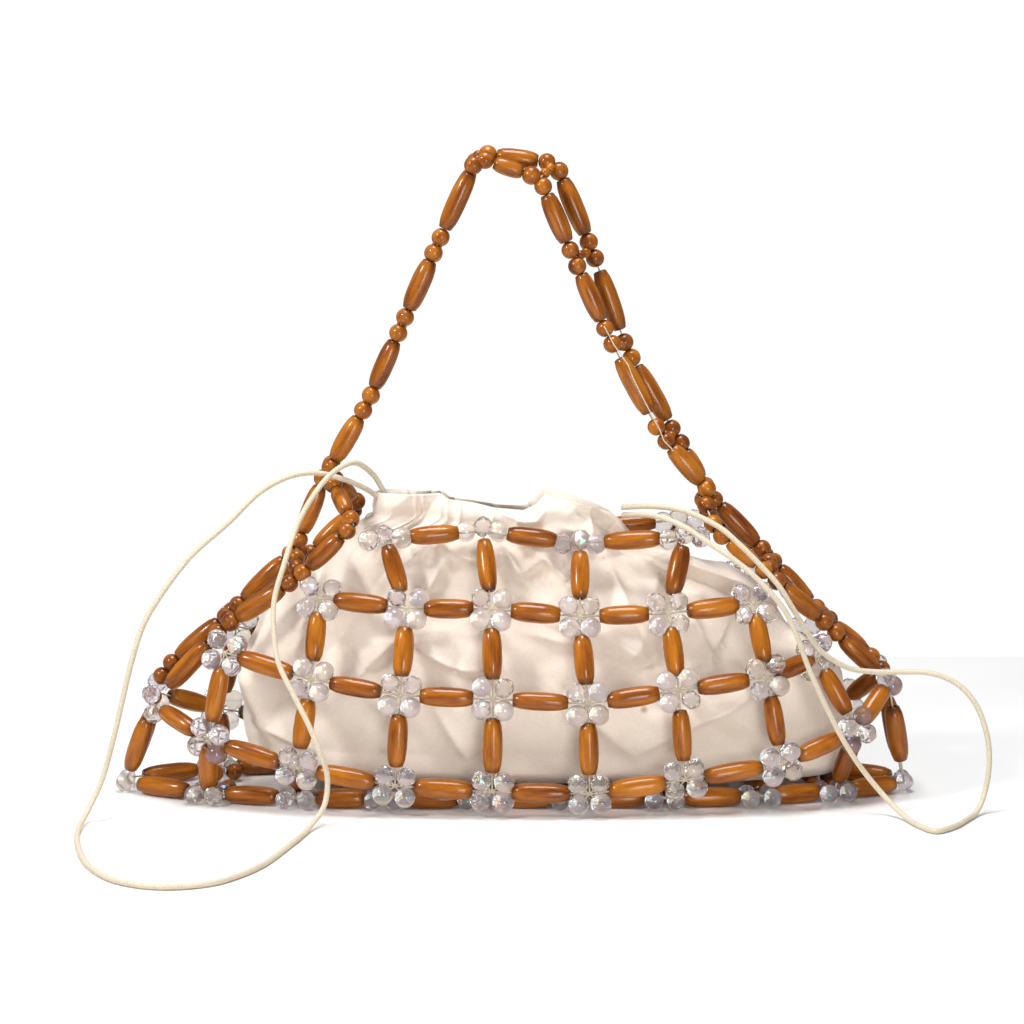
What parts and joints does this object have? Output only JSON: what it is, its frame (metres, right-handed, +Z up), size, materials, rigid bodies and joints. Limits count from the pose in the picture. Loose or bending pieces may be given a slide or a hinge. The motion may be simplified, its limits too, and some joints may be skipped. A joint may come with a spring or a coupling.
{
  "type": "wooden shoulder bag",
  "caption": "Shoulder bag: a net of long wooden tube beads tied by clear crystal beads, a double bead strap and a cotton drawstring pouch inside.",
  "frame": {"origin": "Middle of the base, on the surface the bag rests on.", "axes": "+X along the bag to its right end as seen in the picture, +Y from the front net to the back net, +Z up."},
  "size_m": [0.3909, 0.2275, 0.285],
  "materials": {
    "wood": "varnished amber-brown bead",
    "crystal": "clear faceted crystal with a faint iridescent coat",
    "cotton": "cream cotton cloth",
    "cord": "natural cotton cord"
  },
  "bodies": {
    "root": {"front_net_row_1": "wood", "front_net_row_2": "wood", "front_net_row_3": "wood", "front_net_row_4": "wood", "front_base_string": "wood", "back_net_row_1": "wood", "back_net_row_2": "wood", "back_net_row_3": "wood", "back_net_row_4": "wood", "back_base_string": "wood", "strap_front_strand": "wood", "strap_back_strand": "wood", "left_ridge_string": "wood", "left_front_edge_string": "wood", "left_back_edge_string": "wood", "right_ridge_string": "wood", "right_front_edge_string": "wood", "right_back_edge_string": "wood", "pouch": "cotton", "drawstring_left": "cord", "drawstring_right": "cord"}
  },
  "joints": []
}
